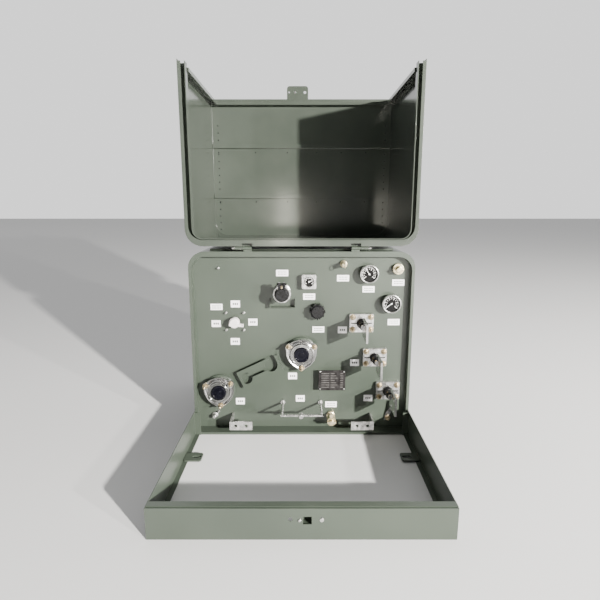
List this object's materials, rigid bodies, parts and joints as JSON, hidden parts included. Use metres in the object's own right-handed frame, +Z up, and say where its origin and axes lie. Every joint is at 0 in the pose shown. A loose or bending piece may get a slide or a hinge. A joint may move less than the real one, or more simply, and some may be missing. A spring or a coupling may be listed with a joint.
{
  "type": "pad-mounted transformer",
  "caption": "Low-profile single-phase pad-mounted transformer with its hood thrown back, showing bushings, gauges and fuse over a ground sill.",
  "frame": {"origin": "on the ground, under the middle of the tank's front rim; the underside of the floor plate there", "axes": "+Z up; -Y out of the open cabinet; +X to the right of someone facing it"},
  "size_m": [0.944, 1.2006, 1.6],
  "materials": {
    "paint": "grey-green powder coat, satin, fine orange peel",
    "hood_paint": "grey-green powder coat, semi-gloss",
    "zinc": "zinc plated, satin",
    "tinned": "tin plated or cast, satin",
    "brass": "machined, lightly tarnished",
    "black_moulding": "moulded, matt",
    "white_moulding": "moulded, satin",
    "bushing_cap": "moulded, semi-gloss",
    "copper": "bare copper, dulled",
    "core_steel": "laminated electrical steel",
    "paper_wrap": "oil-soaked paper over aluminium wire",
    "dial": "black case and dial",
    "pointer": "painted pointer",
    "etched_plate": "dark etched plate"
  },
  "bodies": {
    "tank": {"tank_shell": "paint", "tank_cover": "paint", "front_panel": "paint", "core_clamp": "paint", "sill_left": "paint", "sill_right": "paint", "sill_front": "paint", "tie_down_left": "paint", "tie_down_right": "paint", "hinge_tank_leaf_left": "paint", "hinge_tank_leaf_right": "paint", "parking_stand": "paint", "drip_tray": "paint", "hinge_pin_left": "zinc", "hinge_pin_right": "zinc", "flange_x3": "zinc", "flange_x1": "zinc", "flange_x2": "zinc", "level_gauge": "zinc", "bushing_clamp_left": "tinned", "bushing_clamp_right": "tinned", "spade_x3": "tinned", "spade_x1": "tinned", "spade_x2": "tinned", "ground_bus": "tinned", "ground_pad_left": "tinned", "ground_pad_right": "tinned", "fuse_holder": "tinned", "relief_valve": "brass", "drain_valve": "brass", "insulator_x3": "black_moulding", "insulator_x1": "black_moulding", "insulator_x2": "black_moulding", "bushing_well_left": "bushing_cap", "bushing_well_right": "bushing_cap", "low_voltage_winding": "copper", "ground_strap": "copper", "core_left": "core_steel", "core_right": "core_steel", "high_voltage_winding": "paper_wrap", "pressure_gauge": "dial", "thermometer": "dial", "nameplate": "etched_plate"},
    "hood": {"hood_shell": "hood_paint", "hood_edge_frame": "hood_paint", "hood_hem": "hood_paint", "hood_hasp": "hood_paint", "hinge_hood_leaf_left": "hood_paint", "hinge_hood_leaf_right": "hood_paint"},
    "bolt": {"lock_bolt": "zinc"},
    "fuse": {"bayonet_fuse": "black_moulding"},
    "tap_knob": {"tap_changer_knob": "black_moulding"},
    "switch": {"switch_handle": "white_moulding"},
    "relief": {"relief_ring": "brass"},
    "fill": {"fill_plug": "brass"},
    "drain": {"drain_handle": "brass"},
    "pressure_pointer": {"pressure_gauge_needle": "pointer"},
    "temperature_pointer": {"thermometer_needle": "pointer"},
    "level_pointer": {"level_gauge_needle": "pointer"}
  },
  "joints": [
    {"name": "hood_hinge", "type": "hinge", "parent": "tank", "child": "hood", "pos_m": [0, -0.008, 0.819], "axis": [1, 0, 0], "range_deg": [0, 180]},
    {"name": "lock_bolt_screw_in", "type": "slide", "parent": "hood", "child": "bolt", "axis": [0, -1, 0], "range_m": [0, 0.018]},
    {"name": "fuse_draw_out", "type": "slide", "parent": "tank", "child": "fuse", "axis": [0, -1, 0], "range_m": [0, 0.18]},
    {"name": "tap_selector", "type": "hinge", "parent": "tank", "child": "tap_knob", "pos_m": [0.067, 0, 0.549], "axis": [0, -1, 0], "range_deg": [-72, 72]},
    {"name": "switch_turn", "type": "hinge", "parent": "tank", "child": "switch", "pos_m": [-0.286, 0, 0.5], "axis": [0, -1, 0], "range_deg": [0, 270]},
    {"name": "relief_pull", "type": "slide", "parent": "tank", "child": "relief", "axis": [0, -1, 0], "range_m": [0, 0.006], "stiffness_N_per_m": 1000},
    {"name": "fill_plug_turn", "type": "hinge", "parent": "tank", "child": "fill", "pos_m": [0.404, 0, 0.729], "axis": [0, -1, 0], "continuous": true},
    {"name": "drain_handle_turn", "type": "hinge", "parent": "tank", "child": "drain", "pos_m": [0.13, 0, 0.066], "axis": [0, -1, 0], "continuous": true},
    {"name": "pressure_needle_turn", "type": "hinge", "parent": "tank", "child": "pressure_pointer", "pos_m": [0.281, 0, 0.71], "axis": [0, -1, 0], "range_deg": [-110, 150]},
    {"name": "temperature_needle_turn", "type": "hinge", "parent": "tank", "child": "temperature_pointer", "pos_m": [0.378, 0, 0.583], "axis": [0, -1, 0], "range_deg": [-20, 240]},
    {"name": "level_needle_turn", "type": "hinge", "parent": "tank", "child": "level_pointer", "pos_m": [0.031, 0, 0.676], "axis": [0, -1, 0], "range_deg": [-130, 0]}
  ]
}
